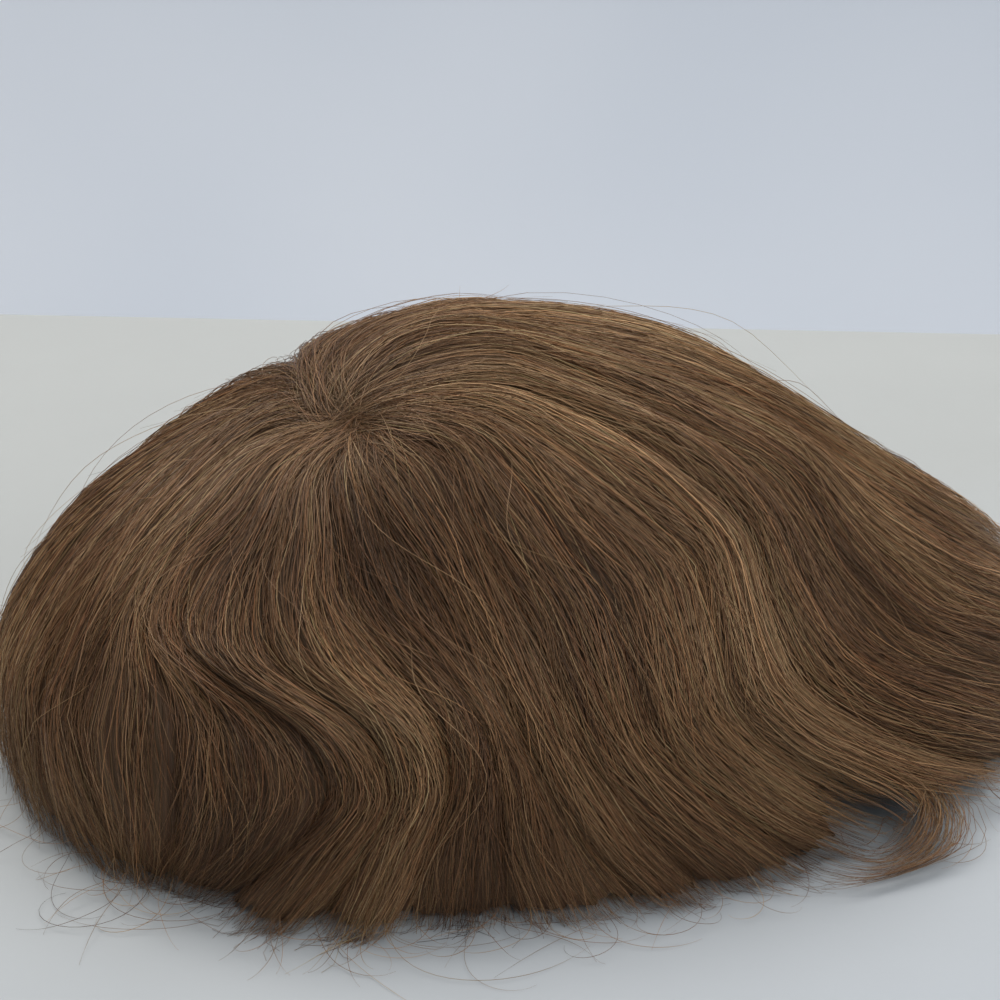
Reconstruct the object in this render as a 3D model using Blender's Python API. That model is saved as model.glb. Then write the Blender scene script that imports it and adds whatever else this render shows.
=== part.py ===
"""Toupee hairpiece lying on its hem: a thin domed base cap under combed locks of hair."""

import bpy
import numpy as np

for item in list(bpy.data.objects):
    bpy.data.objects.remove(item, do_unlink=True)

# Overall form in metres. The forehead end points along +X, the wearer's left side along +Y.
HALF_LENGTH = 0.150
HALF_WIDTH = 0.118
HEIGHT = 0.111

# Depth of the hair over the base cap at the crown, and of the hem that stands on the table.
HAIR_DEPTH = 0.016
HEM_DEPTH = 0.016

# Base cap: how far down the inner dome it reaches, its wall, and its clearance to the hair,
# which grows with the length because the flat faces of both then stray further apart.
CAP_REACH = 0.68
CAP_WALL = 0.0012
CAP_GAP = HALF_LENGTH / 187.5

# Clearance between neighbouring locks, depth of the grooves between them, and how square a
# lock's crown is: 2 is a plain arch.
LOCK_GAP = 0.0004
GROOVE = 0.0015
CROWN_POWER = 2.6

# Whorl: its place on the unit disc, radius, dip, clearance to the locks, and spiral ridges.
WHORL = (-0.24, -0.12)
WHORL_RADIUS = 0.008
WHORL_DIP = 0.0035
WHORL_GAP = 0.0011
WHORL_RIDGE = 0.0006
WHORL_ARMS = 3
WHORL_TWIST = 7.0

# Outer profile, a row per direction in degrees from +X towards +Y: reach of the hem as a
# share of the half sizes, then the curve's two middle points as shares of reach and height.
PROFILE_COLUMNS = ("direction", "reach", "shoulder", "belly", "belly_height", "foot")
PROFILE = (
    (0, 1.22, 0.37, 0.82, 0.39, 1.00),
    (45, 1.05, 0.34, 0.84, 0.43, 0.98),
    (90, 0.98, 0.42, 0.92, 0.50, 0.96),
    (135, 0.97, 0.36, 0.95, 0.56, 0.93),
    (180, 1.01, 0.38, 1.01, 0.60, 0.91),
    (225, 1.03, 0.52, 1.01, 0.58, 0.94),
    (270, 1.03, 0.55, 0.95, 0.52, 1.00),
    (315, 1.14, 0.52, 0.86, 0.42, 1.00),
)

# The inner dome's middle points, as shares of its own reach and height.
INNER_SHOULDER = 0.44
INNER_BELLY = 0.80
INNER_BELLY_HEIGHT = 0.52

# Path of each lock's first edge: its direction from the whorl in degrees, at nine shares of
# the way from the whorl to the hem. A lock ends where the next row begins.
FLOW_SHARES = (0.0, 0.12, 0.25, 0.38, 0.50, 0.60, 0.72, 0.86, 1.0)
FLOW = (
    ("left_rear_lock", 100, 100, 97, 93, 89, 87, 86, 85, 85),
    ("nape_left_lock", 106, 110, 120, 127, 130, 131, 131, 131, 131),
    ("nape_middle_lock", 110, 116, 137, 153, 160, 164, 167, 171, 175),
    ("nape_right_lock", 128, 136, 156, 169, 176, 180, 182, 187, 192),
    ("nape_corner_lock", 148, 155, 173, 181, 187, 190, 192, 199, 204),
    ("right_rear_lock", 162, 170, 187, 190, 196, 208, 212, 212, 208),
    ("rear_wave_lock", 178, 185, 200, 199, 206, 230, 238, 231, 219),
    ("front_wave_lock", 205, 208, 218, 221, 228, 243, 248, 242, 234),
    ("right_dent_lock", 225, 228, 237, 241, 250, 256, 257, 251, 246),
    ("right_rear_fall", 245, 246, 249, 253, 259, 263, 264, 262, 261),
    ("right_front_fall", 262, 262, 261, 265, 268, 271, 272, 275, 280),
    ("temple_rear_lock", 304, 302, 280, 275, 278, 281, 281, 283, 289),
    ("temple_middle_lock", 324, 317, 298, 292, 295, 295, 293, 296, 303),
    ("temple_curl_lock", 340, 331, 315, 311, 313, 310, 305, 309, 318),
    ("low_sweep_lock", 362, 351, 332, 327, 324, 319, 316, 321, 330),
    ("middle_sweep_lock", 388, 374, 348, 340, 335, 329, 326, 333, 342),
    ("top_sweep_lock", 415, 400, 364, 354, 351, 349, 350, 355, 359),
    ("left_front_lock", 440, 432, 397, 381, 376, 373, 372, 374, 376),
    ("left_middle_lock", 452, 448, 428, 412, 407, 405, 404, 402, 402),
)

# Rise of each lock's crown above its grooves at the same nine shares, in hundredths of the
# hair's depth over the base cap.
RISE = (
    ("left_rear_lock", 0, 12, 18, 18, 18, 18, 18, 18, 12),
    ("nape_left_lock", 0, 6, 12, 18, 25, 25, 25, 18, 12),
    ("nape_middle_lock", 0, 6, 12, 18, 25, 25, 25, 18, 12),
    ("nape_right_lock", 0, 6, 12, 18, 18, 18, 25, 25, 12),
    ("nape_corner_lock", 0, 6, 12, 18, 18, 25, 32, 25, 12),
    ("right_rear_lock", 0, 6, 12, 18, 18, 25, 32, 18, 6),
    ("rear_wave_lock", 0, 6, 12, 12, 25, 44, 32, 25, 56),
    ("front_wave_lock", 0, 6, 6, 12, 25, 44, 32, 25, 50),
    ("right_dent_lock", 0, 0, -12, -12, 6, 25, 32, 25, 18),
    ("right_rear_fall", 0, 0, -12, -6, 12, 25, 25, 18, 25),
    ("right_front_fall", 0, 6, 0, 6, 18, 25, 25, 25, 32),
    ("temple_rear_lock", 0, 12, 12, 18, 25, 32, 25, 25, 25),
    ("temple_middle_lock", 0, 12, 18, 25, 25, 32, 32, 25, 18),
    ("temple_curl_lock", 0, 12, 18, 25, 32, 32, 38, 44, 75),
    ("low_sweep_lock", 0, 12, 25, 32, 25, 12, 25, 38, 25),
    ("middle_sweep_lock", 0, 18, 32, 32, 32, 18, 25, 32, 25),
    ("top_sweep_lock", 0, 25, 32, 32, 32, 32, 25, 25, 18),
    ("left_front_lock", 0, 25, 25, 18, 12, 12, 12, 12, 12),
    ("left_middle_lock", 0, 25, 25, 18, 12, 12, 12, 12, 12),
)

# The whorl's radius as a share of the way to the hem.
WHORL_SHARE = WHORL_RADIUS / HALF_LENGTH

# Where the faceted surfaces are sampled: along a lock, across it, and round the cap.
STATIONS = np.array(
    [WHORL_SHARE, 0.15, 0.22, 0.30, 0.38, 0.46, 0.53, 0.59, 0.65, 0.73, 0.82, 0.92, 1.0]
)
ACROSS = np.array([0.0, 0.12, 0.30, 0.50, 0.70, 0.88, 1.0])
CAP_SECTORS = 40
CAP_RINGS = 9
WHORL_RINGS = 3
SHARP_ANGLE = np.radians(50)


def smooth_steps(places, values, wanted):
    """Cubic through a table's rows, its slope at each row taken from the rows beside it."""
    places = np.array(places, float)
    values = np.array(values, float)
    slopes = np.gradient(values, places)
    row = np.clip(np.searchsorted(places, wanted, side="right") - 1, 0, len(places) - 2)
    width = places[row + 1] - places[row]
    part = (wanted - places[row]) / width
    start = values[row] * (2 * part**3 - 3 * part**2 + 1)
    end = values[row + 1] * (3 * part**2 - 2 * part**3)
    leaving = slopes[row] * width * (part**3 - 2 * part**2 + part)
    arriving = slopes[row + 1] * width * (part**3 - part**2)
    return start + end + leaving + arriving


def around(column, direction):
    """A profile column at any direction, joined smoothly from the last row to the first."""
    index = PROFILE_COLUMNS.index(column)
    turns = [row[0] + turn for turn in (-360, 0, 360) for row in PROFILE]
    values = [row[index] for row in PROFILE] * 3
    return smooth_steps(turns, values, np.mod(direction, 360.0))


def curve(share, first, second):
    """Height of a cubic arc that starts level at 1 and ends upright at 0, with its run."""
    left = 1.0 - share
    height = left**3 + 3 * left**2 * share + 3 * left * share**2 * second[1]
    run = 3 * left**2 * share * first + 3 * left * share**2 * second[0]
    return run, height


def hem_radius(direction):
    """Distance from the middle to the outer hem in each direction, before tucking in."""
    turn = np.radians(direction)
    plain = 1.0 / np.sqrt((np.cos(turn) / HALF_LENGTH) ** 2 + (np.sin(turn) / HALF_WIDTH) ** 2)
    return around("reach", direction) * plain


def outer_dome(u, v):
    """Outside of the combed hair over the unit disc."""
    share = np.hypot(u, v)
    direction = np.degrees(np.arctan2(v, u))
    radius = hem_radius(direction)
    belly = (around("belly", direction), around("belly_height", direction))
    run, height = curve(share, around("shoulder", direction), belly)
    run = radius * (run + share**3 * around("foot", direction))
    turn = np.radians(direction)
    return np.stack([run * np.cos(turn), run * np.sin(turn), HEIGHT * height], -1)


def inner_dome(u, v):
    """Inside of the hair over the same disc: it follows the base cap, then hangs to the hem."""
    share = np.hypot(u, v)
    direction = np.degrees(np.arctan2(v, u))
    radius = hem_radius(direction) * around("foot", direction) - HEM_DEPTH
    run, height = curve(share, INNER_SHOULDER, (INNER_BELLY, INNER_BELLY_HEIGHT))
    run = radius * (run + share**3)
    turn = np.radians(direction)
    return np.stack([run * np.cos(turn), run * np.sin(turn), (HEIGHT - HAIR_DEPTH) * height], -1)


def unit(vectors):
    """The same directions with length 1."""
    return vectors / np.linalg.norm(vectors, axis=-1, keepdims=True)


def facing_out(surface, u, v):
    """Direction straight out of a dome."""
    step = 0.002
    along_u = surface(u + step, v) - surface(u - step, v)
    along_v = surface(u, v + step) - surface(u, v - step)
    return unit(np.cross(along_u, along_v))


def on_disc(direction, share):
    """Disc place at a share of the way from the whorl to the rim in one direction."""
    turn = np.radians(direction)
    cosine = np.cos(turn)
    sine = np.sin(turn)
    along = WHORL[0] * cosine + WHORL[1] * sine
    length = np.sqrt(along**2 - (WHORL[0] ** 2 + WHORL[1] ** 2) + 1.0) - along
    return WHORL[0] + share * length * cosine, WHORL[1] + share * length * sine


def edge_direction(number, share):
    """Direction of a lock's first edge; the number past the last lock is the first again."""
    row = FLOW[number % len(FLOW)][1:]
    return smooth_steps(FLOW_SHARES, row, share) + 360.0 * (number // len(FLOW))


def side_step(surface, number, share):
    """Direction in the surface square to a lock's edge, towards the next lock."""
    step = 0.004
    ahead = surface(*on_disc(edge_direction(number, share + step), share + step))
    behind = surface(*on_disc(edge_direction(number, share - step), share - step))
    u, v = on_disc(edge_direction(number, share), share)
    return unit(np.cross(facing_out(surface, u, v), ahead - behind))


def lock_layers(number):
    """Outer and inner points of a lock, in rows along it and columns across it."""
    share = STATIONS[:, None] + 0.0 * ACROSS[None, :]
    across = 0.0 * STATIONS[:, None] + ACROSS[None, :]
    first = edge_direction(number, share)
    last = edge_direction(number + 1, share)
    u, v = on_disc(first + (last - first) * across, share)
    rise = smooth_steps(FLOW_SHARES, RISE[number][1:], share) / 100.0 * HAIR_DEPTH
    crown = 1.0 - np.abs(2.0 * across - 1.0) ** CROWN_POWER
    lift = rise * crown - GROOVE
    outer = outer_dome(u, v) + facing_out(outer_dome, u, v) * lift[..., None]
    inner = inner_dome(u, v)
    for surface, layer in ((outer_dome, outer), (inner_dome, inner)):
        layer[:, 0] += side_step(surface, number, STATIONS) * LOCK_GAP / 2
        layer[:, -1] -= side_step(surface, number + 1, STATIONS) * LOCK_GAP / 2
        layer[-1, :, 2] = 0.0
    return outer, inner


def split(points, a, b, c, d):
    """Two triangles of a four-sided patch, cut along its shorter diagonal."""
    if np.linalg.norm(points[a] - points[d]) <= np.linalg.norm(points[b] - points[c]):
        return [(a, c, d), (a, d, b)]
    return [(a, c, b), (b, c, d)]


def shell_faces(points, rows, columns, wraps):
    """Triangles of a closed shell whose outer points come before its inner ones."""
    inner = rows * columns
    faces = []
    spans = columns if wraps else columns - 1
    for row in range(rows - 1):
        for column in range(spans):
            a = row * columns + column
            b = row * columns + (column + 1) % columns
            c = a + columns
            d = b + columns
            faces += split(points, a, b, c, d)
            below = split(points, a + inner, b + inner, c + inner, d + inner)
            faces += [tuple(reversed(face)) for face in below]
    for row in range(rows - 1):
        if wraps:
            break
        for column, turned in ((0, False), (columns - 1, True)):
            a = row * columns + column
            c = a + columns
            side = [(a, c + inner, c), (a, a + inner, c + inner)]
            faces += [tuple(reversed(face)) for face in side] if turned else side
    for row, turned in ((0, True), (rows - 1, False)):
        if wraps and turned:
            continue
        for column in range(spans):
            a = row * columns + column
            b = row * columns + (column + 1) % columns
            end = [(a, a + inner, b), (b, a + inner, b + inner)]
            faces += [tuple(reversed(face)) for face in end] if turned else end
    return faces


def lock_body(number):
    """Points and triangles of one lock."""
    outer, inner = lock_layers(number)
    points = np.concatenate([outer.reshape(-1, 3), inner.reshape(-1, 3)])
    return points, shell_faces(points, len(STATIONS), len(ACROSS), False)


def round_body(outer_rings, inner_rings, outer_middle, inner_middle):
    """Points and triangles of a round shell that closes over its middle."""
    rows, columns = outer_rings.shape[:2]
    rings = np.concatenate([outer_rings.reshape(-1, 3), inner_rings.reshape(-1, 3)])
    points = np.concatenate([rings, outer_middle[None], inner_middle[None]])
    faces = shell_faces(points, rows, columns, True)
    top = 2 * rows * columns
    below = rows * columns
    for column in range(columns):
        following = (column + 1) % columns
        faces.append((top, column, following))
        faces.append((top + 1, below + following, below + column))
    return points, faces


def cap_body():
    """Thin domed base that the hair is fixed to."""
    turns = np.linspace(0.0, 2 * np.pi, CAP_SECTORS, endpoint=False)
    shares = CAP_REACH * np.arange(1, CAP_RINGS + 1) / CAP_RINGS
    u = shares[:, None] * np.cos(turns)[None, :]
    v = shares[:, None] * np.sin(turns)[None, :]
    middle = np.zeros(1)
    outward = facing_out(inner_dome, u, v)
    outer = inner_dome(u, v) - outward * CAP_GAP
    inner = inner_dome(u, v) - outward * (CAP_GAP + CAP_WALL)
    top = inner_dome(middle, middle)[0]
    up = np.array([0.0, 0.0, 1.0])
    return round_body(outer, inner, top - up * CAP_GAP, top - up * (CAP_GAP + CAP_WALL))


def whorl_body():
    """Round tuft where the locks part, dished in the middle with a slow spiral."""
    turns = []
    for number in range(len(FLOW)):
        start = float(edge_direction(number, np.array(WHORL_SHARE)))
        finish = float(edge_direction(number + 1, np.array(WHORL_SHARE)))
        turns += [start, (start + finish) / 2]
    turns = np.array(turns)
    rings = np.arange(1, WHORL_RINGS + 1) / WHORL_RINGS
    direction = 0.0 * rings[:, None] + turns[None, :]
    share = WHORL_SHARE * rings[:, None] + 0.0 * turns[None, :]
    u, v = on_disc(direction, share)
    dish = WHORL_DIP * (share / WHORL_SHARE) ** 2 - WHORL_DIP - GROOVE
    arms = np.sin(np.radians(WHORL_ARMS * direction) + WHORL_TWIST * share / WHORL_SHARE)
    spiral = WHORL_RIDGE * arms
    outward = facing_out(outer_dome, u, v)
    outer = outer_dome(u, v) + outward * (dish + spiral)[..., None]
    inner = inner_dome(u, v)
    middle_u = np.array([WHORL[0]])
    middle_v = np.array([WHORL[1]])
    low = inner_dome(middle_u, middle_v)[0]
    out = facing_out(outer_dome, middle_u, middle_v)[0]
    high = outer_dome(middle_u, middle_v)[0] - out * (WHORL_DIP + GROOVE)
    outer[-1] += unit(high - outer[-1]) * WHORL_GAP
    inner[-1] += unit(low - inner[-1]) * WHORL_GAP
    return round_body(outer, inner, high, low)


def hair_material(name, colour):
    """Plain material that names what the piece is made of."""
    material = bpy.data.materials.new(name)
    material.use_nodes = True
    shader = material.node_tree.nodes["Principled BSDF"]
    shader.inputs["Base Color"].default_value = (*colour, 1.0)
    shader.inputs["Roughness"].default_value = 0.55
    return material


def add_piece(name, points, faces, material):
    """One closed mesh object, faces turned outward."""
    corners = points[np.array(faces)]
    volume = np.einsum("ij,ij->i", corners[:, 0], np.cross(corners[:, 1], corners[:, 2])).sum()
    if volume < 0:
        faces = [tuple(reversed(face)) for face in faces]
    mesh = bpy.data.meshes.new(name)
    mesh.from_pydata([tuple(point) for point in points], [], faces)
    mesh.materials.append(material)
    mesh.shade_smooth()
    mesh.set_sharp_from_angle(angle=SHARP_ANGLE)
    piece = bpy.data.objects.new(name, mesh)
    bpy.context.scene.collection.objects.link(piece)


bodies = {"base_cap": cap_body(), "crown_whorl": whorl_body()}
for number in range(len(FLOW)):
    bodies[FLOW[number][0]] = lock_body(number)

every_point = np.concatenate([points for points, faces in bodies.values()])
low_corner = every_point.min(axis=0)
high_corner = every_point.max(axis=0)
middle = (low_corner + high_corner) / 2
shift = np.array([middle[0], middle[1], low_corner[2]])

hair = hair_material("brown_hair", (0.085, 0.050, 0.026))
net = hair_material("skin_tone_net", (0.42, 0.27, 0.18))
for name, (points, faces) in bodies.items():
    add_piece(name, points - shift, faces, net if name == "base_cap" else hair)
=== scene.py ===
"""Brown toupee hairpiece: combed locks of hair tied to a thin net base cap, resting on its hem."""

import bpy
import numpy as np
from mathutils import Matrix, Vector


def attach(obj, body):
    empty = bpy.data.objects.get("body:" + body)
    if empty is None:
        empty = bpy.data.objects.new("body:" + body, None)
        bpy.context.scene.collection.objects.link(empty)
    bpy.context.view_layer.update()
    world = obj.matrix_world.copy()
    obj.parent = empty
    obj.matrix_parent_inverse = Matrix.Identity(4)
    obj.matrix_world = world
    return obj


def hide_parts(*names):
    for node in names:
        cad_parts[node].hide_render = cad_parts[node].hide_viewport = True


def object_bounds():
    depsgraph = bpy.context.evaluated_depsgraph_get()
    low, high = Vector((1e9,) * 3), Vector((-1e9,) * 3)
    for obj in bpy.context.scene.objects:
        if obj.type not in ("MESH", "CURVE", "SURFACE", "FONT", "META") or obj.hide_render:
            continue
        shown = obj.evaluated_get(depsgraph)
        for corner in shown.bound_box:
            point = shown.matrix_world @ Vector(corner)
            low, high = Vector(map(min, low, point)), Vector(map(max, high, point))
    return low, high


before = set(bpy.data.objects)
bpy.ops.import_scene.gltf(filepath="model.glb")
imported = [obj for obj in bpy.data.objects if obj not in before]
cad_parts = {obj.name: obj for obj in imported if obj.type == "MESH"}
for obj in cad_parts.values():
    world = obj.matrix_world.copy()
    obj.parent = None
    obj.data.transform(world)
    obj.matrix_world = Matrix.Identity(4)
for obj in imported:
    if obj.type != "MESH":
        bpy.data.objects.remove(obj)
cad_low, cad_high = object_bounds()
scene = bpy.context.scene
bpy.ops.object.select_all(action="DESELECT")


# Table top: a pale board with a soft front edge, its far edge slightly turned from the camera.
# It is a beveled slab 30 mm thick, and its top is the level that the hair rests on.
EDGE_LEFT = Vector((-0.0718, 0.3705, 0.0))
EDGE_RIGHT = Vector((0.2839, 0.1796, 0.0))
TABLE_SIZE = (3.4, 1.9, 0.03)


def add_material(name, roughness):
    """A new node material with its shader and its links ready to use."""
    material = bpy.data.materials.new(name)
    material.use_nodes = True
    tree = material.node_tree
    shader = tree.nodes["Principled BSDF"]
    shader.inputs["Roughness"].default_value = roughness
    return material, tree, shader


def add_node(tree, kind, **values):
    """A node of a kind, with its properties and the plain values of its sockets."""
    node = tree.nodes.new(kind)
    for name, value in values.items():
        if name in node.inputs:
            node.inputs[name].default_value = value
        else:
            setattr(node, name, value)
    return node


def connect(tree, *links):
    """Links in a node tree, each a node, its output, the node that it feeds and its input."""
    for source, output, fed, socket in links:
        tree.links.new(source.outputs[output], fed.inputs[socket])


def add_ramp(tree, stops):
    """A colour ramp with its stops at the given places."""
    ramp = tree.nodes.new("ShaderNodeValToRGB")
    elements = ramp.color_ramp.elements
    while len(elements) < len(stops):
        elements.new(0.5)
    for element, (place, colour) in zip(elements, stops):
        element.position = place
        element.color = (*colour, 1.0)
    return ramp


board_paint_and_light, tree, shader = add_material("pale_table_with_painted_light", 0.62)
place = add_node(tree, "ShaderNodeTexCoord")
mottle = add_node(tree, "ShaderNodeTexNoise", Scale=9.0, Detail=5.0, Roughness=0.6)
grain = add_node(tree, "ShaderNodeTexNoise", Scale=420.0, Detail=2.0)
shade = add_ramp(tree, ((0.3, (0.96, 0.96, 0.96)), (0.7, (1.0, 1.0, 1.0))))
parts = add_node(tree, "ShaderNodeSeparateXYZ")
# Painted light: cream at the back, a paler bluer white at the front where the hair shades it.
painted_front_light = add_ramp(tree, ((0.35, (0.600, 0.615, 0.630)), (0.75, (0.555, 0.550, 0.515))))
spread = add_node(tree, "ShaderNodeMapRange", **{"From Min": -0.45, "From Max": 0.25})
painted = add_node(tree, "ShaderNodeVectorMath", operation="MULTIPLY")
relief = add_node(tree, "ShaderNodeBump", Strength=0.12, Distance=0.0004)
connect(
    tree,
    (place, "Object", mottle, "Vector"),
    (place, "Object", grain, "Vector"),
    (mottle, "Fac", shade, "Fac"),
    (place, "Object", parts, "Vector"),
    (parts, "Y", spread, "Value"),
    (spread, "Result", painted_front_light, "Fac"),
    (shade, "Color", painted, 0),
    (painted_front_light, "Color", painted, 1),
    (painted, "Vector", shader, "Base Color"),
    (grain, "Fac", relief, "Height"),
    (relief, "Normal", shader, "Normal"),
)

along_edge = (EDGE_RIGHT - EDGE_LEFT).normalized()
edge_turn = np.arctan2(along_edge.y, along_edge.x)
edge_middle = (EDGE_LEFT + EDGE_RIGHT) / 2
towards_camera = Vector((along_edge.y, -along_edge.x, 0.0))
table_middle = edge_middle + towards_camera * TABLE_SIZE[1] / 2
table_middle.z = -TABLE_SIZE[2] / 2
bpy.ops.mesh.primitive_cube_add(size=1.0, location=table_middle, rotation=(0, 0, edge_turn))
table = bpy.context.object
table.name = "table_top"
table.scale = TABLE_SIZE
bpy.ops.object.transform_apply(location=True, rotation=True, scale=True)
bevel = table.modifiers.new("soft_edge", "BEVEL")
bevel.width = 0.006
bevel.segments = 4
bpy.ops.object.modifier_apply(modifier=bevel.name)
bpy.ops.object.shade_smooth_by_angle(angle=0.6)
table.data.materials.append(board_paint_and_light)

# Backdrop: one wide sheet of pale blue-grey cloth that hangs well behind the table and sweeps
# forward under it as the studio floor. A grid is bent into the sweep and gets slow soft folds.
BACKDROP_WIDTH = 9.0
BACKDROP_AWAY = 1.75
BACKDROP_HEIGHT = 4.2
FLOOR_LEVEL = -0.74
SWEEP_RADIUS = 0.7

cloth_dye_and_painted_shade, tree, shader = add_material("backdrop_cloth_painted_shade", 0.9)
place = add_node(tree, "ShaderNodeTexCoord")
# Painted shade: soft darker blotches in the cloth's colour stand for the shade of its folds.
fold_shade_noise = add_node(tree, "ShaderNodeTexNoise", Scale=0.9, Detail=2.0)
shade = add_ramp(tree, ((0.35, (0.740, 0.765, 0.810)), (0.65, (0.880, 0.885, 0.905))))
connect(
    tree,
    (place, "Object", fold_shade_noise, "Vector"),
    (fold_shade_noise, "Fac", shade, "Fac"),
    (shade, "Color", shader, "Base Color"),
)

bpy.ops.mesh.primitive_grid_add(x_subdivisions=90, y_subdivisions=140, size=1.0)
backdrop = bpy.context.object
backdrop.name = "backdrop_cloth"
quarter = SWEEP_RADIUS * np.pi / 2
floor_run = 5.0
whole = BACKDROP_HEIGHT + quarter + floor_run
for vertex in backdrop.data.vertices:
    run = (vertex.co.y + 0.5) * whole - floor_run
    side = vertex.co.x * BACKDROP_WIDTH
    if run < 0:
        away, height = run - SWEEP_RADIUS, 0.0
    elif run < quarter:
        turn = run / SWEEP_RADIUS
        away = SWEEP_RADIUS * (np.sin(turn) - 1)
        height = SWEEP_RADIUS * (1 - np.cos(turn))
    else:
        away, height = 0.0, SWEEP_RADIUS + run - quarter
    fold = 0.03 * np.sin(2.3 * side - 1.7 * height) * np.sin(0.9 * side + 0.6)
    away += fold * min(1.0, max(0.0, height / SWEEP_RADIUS))
    spot = edge_middle + along_edge * side - towards_camera * (BACKDROP_AWAY + away)
    vertex.co = (spot.x, spot.y, FLOOR_LEVEL + height)
bpy.ops.object.shade_smooth()
backdrop.data.materials.append(cloth_dye_and_painted_shade)

# Camera: a long lens 0.68 m from the hair, 25 degrees above the table and 25 degrees round
# towards the left end.
camera_data = bpy.data.cameras.new("photo_camera")
camera_data.lens = 87.0
camera_data.sensor_width = 36.0
camera = bpy.data.objects.new("photo_camera", camera_data)
scene.collection.objects.link(camera)
camera.location = (-0.27806, -0.55378, 0.34588)
aim = Vector((-0.0176, 0.00476, 0.0585)) - camera.location
camera.rotation_euler = aim.to_track_quat("-Z", "Y").to_euler()
scene.camera = camera

# Light: a wide soft window above and behind, a weaker one in front, one for the backdrop, and a
# pale room round them, as in flat daylight. Light bounces once, which hair this dark hardly shows.
LIGHTS = (
    ("window_light", (-0.45, 1.15, 2.00), (0.0, 0.0, 0.03), 1.3, 20.5, (1.0, 0.985, 0.96)),
    ("front_light", (0.3, -1.6, 1.7), (0.0, 0.0, 0.03), 1.5, 15.0, (0.95, 0.98, 1.0)),
    ("backdrop_light", (0.9, 0.5, 2.1), (0.9, 1.6, 0.4), 1.6, 17.5, (0.97, 0.985, 1.0)),
)
for name, spot, focus, size, watts, colour in LIGHTS:
    light_data = bpy.data.lights.new(name, "AREA")
    light_data.shape = "DISK"
    light_data.size = size
    light_data.energy = watts
    light_data.color = colour
    light = bpy.data.objects.new(name, light_data)
    scene.collection.objects.link(light)
    light.location = spot
    light.rotation_euler = (Vector(focus) - light.location).to_track_quat("-Z", "Y").to_euler()
world = bpy.data.worlds.new("pale_room")
world.use_nodes = True
room = world.node_tree.nodes["Background"]
room.inputs["Color"].default_value = (0.78, 0.86, 0.96, 1.0)
room.inputs["Strength"].default_value = 0.42
scene.world = world
scene.view_settings.view_transform = "Standard"
scene.cycles.max_bounces = 1


# Base cap: the thin domed net that every hair is knotted to, open below for the head. It is a
# disc of mesh drawn up over the inner dome, given the net's thickness and a bound rim.
HALF_LENGTH = 0.150
HALF_WIDTH = 0.118
HEIGHT = 0.111
HAIR_DEPTH = 0.016
HEM_DEPTH = 0.016
CAP_REACH = 0.68
CAP_GAP = 0.0008
NET_THICKNESS = 0.0009
PROFILE_COLUMNS = ("direction", "reach", "shoulder", "belly", "belly_height", "foot")
PROFILE = (
    (0, 1.22, 0.37, 0.82, 0.39, 1.00),
    (45, 1.05, 0.34, 0.84, 0.43, 0.98),
    (90, 0.98, 0.42, 0.92, 0.50, 0.96),
    (135, 0.97, 0.36, 0.95, 0.56, 0.93),
    (180, 1.01, 0.38, 1.01, 0.60, 0.91),
    (225, 1.03, 0.52, 1.01, 0.58, 0.94),
    (270, 1.03, 0.55, 0.95, 0.52, 1.00),
    (315, 1.14, 0.52, 0.86, 0.42, 1.00),
)
INNER_SHOULDER = 0.44
INNER_BELLY = 0.80
INNER_BELLY_HEIGHT = 0.52


def smooth_steps(places, values, wanted):
    """Cubic through a table's rows, its slope at each row taken from the rows beside it."""
    places = np.array(places, float)
    values = np.array(values, float)
    slopes = np.gradient(values, places)
    row = np.clip(np.searchsorted(places, wanted, side="right") - 1, 0, len(places) - 2)
    width = places[row + 1] - places[row]
    part = (wanted - places[row]) / width
    start = values[row] * (2 * part**3 - 3 * part**2 + 1)
    end = values[row + 1] * (3 * part**2 - 2 * part**3)
    leaving = slopes[row] * width * (part**3 - 2 * part**2 + part)
    arriving = slopes[row + 1] * width * (part**3 - part**2)
    return start + end + leaving + arriving


def around(column, direction):
    """A profile column at any direction, joined smoothly from the last row to the first."""
    index = PROFILE_COLUMNS.index(column)
    turns = [row[0] + turn for turn in (-360, 0, 360) for row in PROFILE]
    values = [row[index] for row in PROFILE] * 3
    return smooth_steps(turns, values, np.mod(direction, 360.0))


def curve(share, first, second):
    """Run and height of a cubic arc that starts level at 0 and ends upright at 1."""
    left = 1.0 - share
    height = left**3 + 3 * left**2 * share + 3 * left * share**2 * second[1]
    run = 3 * left**2 * share * first + 3 * left * share**2 * second[0]
    return run, height


def hem_radius(direction):
    """Distance from the middle to the outer hem in each direction, before tucking in."""
    turn = np.radians(direction)
    plain = 1.0 / np.sqrt((np.cos(turn) / HALF_LENGTH) ** 2 + (np.sin(turn) / HALF_WIDTH) ** 2)
    return around("reach", direction) * plain


def inner_dome(u, v):
    """Inside of the hair over the unit disc: it follows the base cap, then hangs to the hem."""
    share = np.hypot(u, v)
    direction = np.degrees(np.arctan2(v, u))
    radius = hem_radius(direction) * around("foot", direction) - HEM_DEPTH
    run, height = curve(share, INNER_SHOULDER, (INNER_BELLY, INNER_BELLY_HEIGHT))
    run = radius * (run + share**3)
    turn = np.radians(direction)
    return np.stack([run * np.cos(turn), run * np.sin(turn), (HEIGHT - HAIR_DEPTH) * height], -1)


def unit(vectors):
    """The same directions with length 1."""
    return vectors / np.maximum(np.linalg.norm(vectors, axis=-1, keepdims=True), 1e-12)


def facing_out(surface, u, v):
    """Direction straight out of a dome."""
    step = 0.002
    along_u = surface(u + step, v) - surface(u - step, v)
    along_v = surface(u, v + step) - surface(u, v - step)
    return unit(np.cross(along_u, along_v))


def mesh_points(piece):
    """The places of a piece's points."""
    return np.array([vertex.co for vertex in piece.data.vertices], float)


# The dome's middle in the frame is where the base cap's CAD solid is highest.
cap_points = mesh_points(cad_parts["base_cap"])
cap_top = cap_points[cap_points[:, 2].argmax()]
DOME_MIDDLE = np.array([cap_top[0], cap_top[1], 0.0])

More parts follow.
